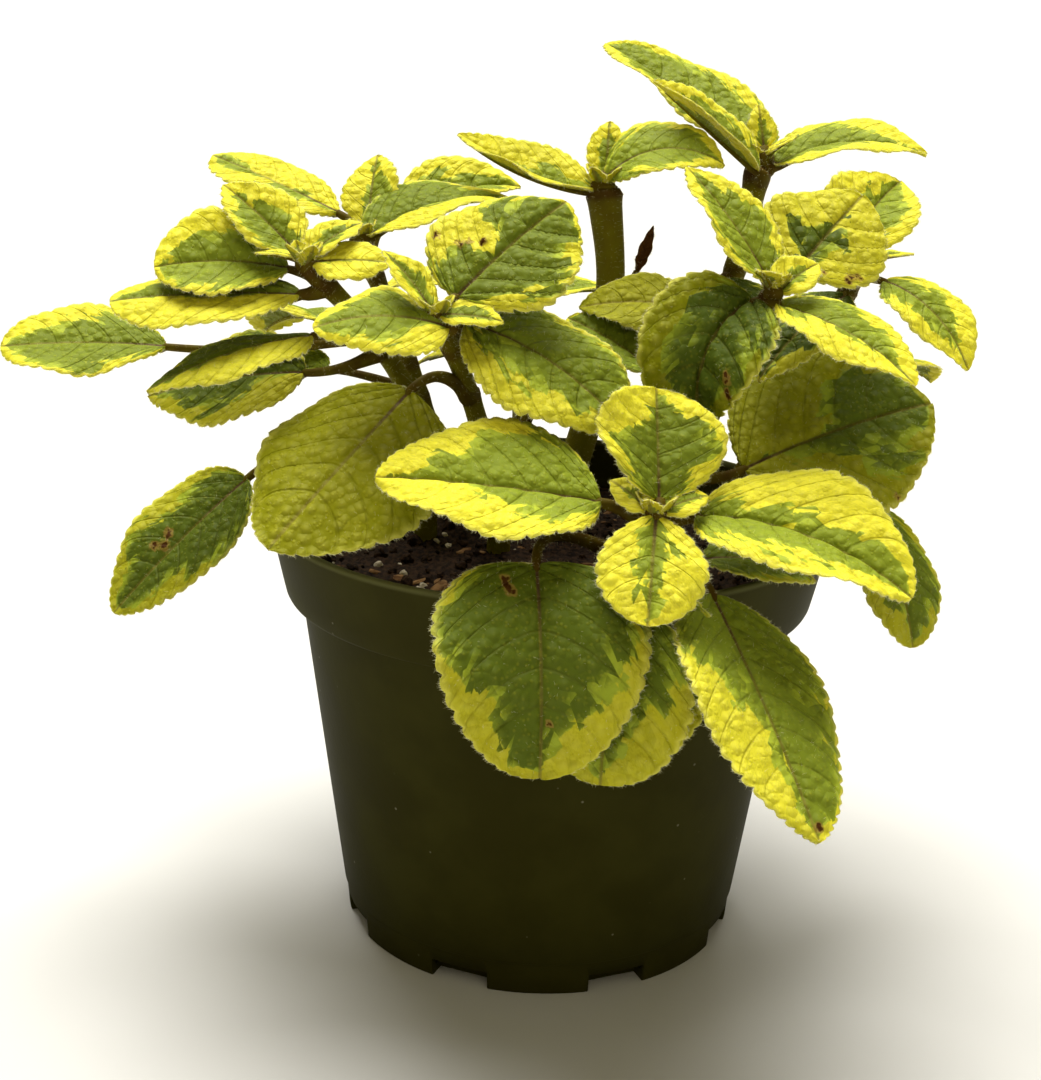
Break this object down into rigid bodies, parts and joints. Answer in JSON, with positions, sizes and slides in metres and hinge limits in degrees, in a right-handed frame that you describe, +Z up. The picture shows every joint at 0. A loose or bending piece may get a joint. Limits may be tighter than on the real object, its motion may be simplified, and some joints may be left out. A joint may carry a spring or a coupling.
{
  "type": "potted plectranthus plant",
  "caption": "Bushy variegated plectranthus with crinkled lime-edged green leaves on branching stems, rooted in soil in a round tapered nursery pot.",
  "frame": {"origin": "middle of the pot's flat underside", "axes": "+Z up along the pot's axis, -Y towards the front of the plant, +X to its right"},
  "size_m": [0.1931, 0.1849, 0.1782],
  "materials": {
    "pot": "satin moulded plastic, dark olive green",
    "soil": "crumbly dark peat with bark and perlite",
    "foliage": "soft hairy leaf, green in the middle and lime yellow at the edge"
  },
  "bodies": {
    "root": {"nursery_pot": "pot", "soil": "soil", "leafy_stem_front": "foliage", "leafy_stem_centre": "foliage", "leafy_stem_left": "foliage", "leafy_stem_back_left": "foliage", "leafy_stem_tall_middle": "foliage", "leafy_stem_tall_right": "foliage", "leafy_stem_right": "foliage", "leafy_stem_far_right": "foliage", "leafy_stem_back": "foliage", "leafy_stem_back_right": "foliage"}
  },
  "joints": []
}
